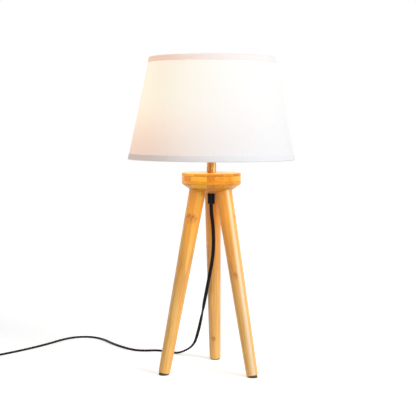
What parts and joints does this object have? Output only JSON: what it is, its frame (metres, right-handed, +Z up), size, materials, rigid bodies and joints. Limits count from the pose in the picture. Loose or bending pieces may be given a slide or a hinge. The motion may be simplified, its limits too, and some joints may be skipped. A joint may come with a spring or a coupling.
{
  "type": "tripod table lamp",
  "caption": "Table lamp on a three-legged turned bamboo stand, with a brass stem, a conical fabric shade, a screw-in globe bulb and a flat flex with a rocker switch and a two-pin plug.",
  "frame": {"origin": "on the floor, under the vertical axis of the stem and shade", "axes": "+Z up along the stem; the back leg stands at +Y; the two front legs at 210 and 330 degrees from +X"},
  "size_m": [0.5193, 0.4351, 0.433],
  "materials": {
    "bamboo": "gloss lacquer",
    "foot_rubber": "matte",
    "zinc_steel": "zinc plated",
    "antique_brass": "brushed, aged",
    "contact_brass": "bright",
    "black_plastic": "satin",
    "holder_ceramic": "glazed",
    "white_steel": "white lacquer",
    "shade_fabric": "plain weave",
    "hem_fabric": "plain weave, folded",
    "bulb_cap_metal": "nickel plated",
    "bulb_glass_black": "black glass",
    "bulb_plastic": "white",
    "board": "white solder mask",
    "bulb_opal": "opal",
    "flex_black": "satin PVC",
    "core_blue_brown": "PVC",
    "switch_plastic": "satin",
    "pin_nickel": "nickel plated brass"
  },
  "bodies": {
    "lamp_base": {"tripod_head": "bamboo", "leg_back": "bamboo", "leg_front_left": "bamboo", "leg_front_right": "bamboo", "foot_pad_back": "foot_rubber", "foot_pad_front_left": "foot_rubber", "foot_pad_front_right": "foot_rubber", "leg_hanger_bolts": "zinc_steel", "leg_threaded_inserts": "zinc_steel", "threaded_tube": "zinc_steel", "tube_washer": "zinc_steel", "tube_lock_nut": "zinc_steel", "stem_sleeve": "antique_brass", "cord_gland": "black_plastic", "gland_screw": "black_plastic", "stem_cable": "flex_black", "core_wires": "core_blue_brown", "holder_cap": "black_plastic", "holder_shell": "black_plastic", "holder_insulator": "holder_ceramic", "holder_screw_contact": "contact_brass", "holder_centre_contact": "contact_brass", "holder_terminal_screws": "contact_brass", "switch_base": "switch_plastic", "switch_cover": "switch_plastic", "switch_screws": "zinc_steel", "switch_terminals": "contact_brass", "plug_body": "flex_black", "plug_pins": "pin_nickel", "plug_pin_sleeves": "flex_black", "cord_lamp_to_switch": "flex_black", "cord_switch_to_coil": "flex_black", "cord_coil": "flex_black", "cord_coil_to_plug": "flex_black"},
    "shade": {"shade_skin": "shade_fabric", "shade_hem_bottom": "hem_fabric", "shade_hem_top": "hem_fabric", "shade_spider_frame": "white_steel", "shade_top_wire": "white_steel"},
    "shade_nut": {"shade_ring": "black_plastic"},
    "bulb_foot": {"bulb_tip_contact": "bulb_cap_metal", "bulb_base_insulator": "bulb_glass_black"},
    "bulb": {"bulb_screw_cap": "bulb_cap_metal", "bulb_housing": "bulb_plastic", "bulb_led_board": "board", "bulb_globe": "bulb_opal"},
    "rocker": {"switch_rocker": "switch_plastic"}
  },
  "joints": [
    {"name": "shade_turn", "type": "hinge", "parent": "lamp_base", "child": "shade", "pos_m": [0, 0, 0.3213], "axis": [0, 0, 1], "continuous": true},
    {"name": "shade_nut_turn", "type": "hinge", "parent": "lamp_base", "child": "shade_nut", "pos_m": [0, 0, 0.3232], "axis": [0, 0, 1], "range_deg": [0, 720]},
    {"name": "bulb_rise", "type": "slide", "parent": "lamp_base", "child": "bulb_foot", "axis": [0, 0, 1], "range_m": [0, 0.0099]},
    {"name": "bulb_turn", "type": "hinge", "parent": "bulb_foot", "child": "bulb", "pos_m": [0, 0, 0.3344], "axis": [0, 0, 1], "range_deg": [0, 1260]},
    {"name": "rocker_tip", "type": "hinge", "parent": "lamp_base", "child": "rocker", "pos_m": [-0.352, -0.032, 0.0125], "axis": [0.9781, -0.2079, 0], "range_deg": [0, 16]}
  ],
  "couplings": [
    {"joint": "bulb_rise", "follows": "bulb_turn", "m_per_rad": 0.00044917}
  ]
}
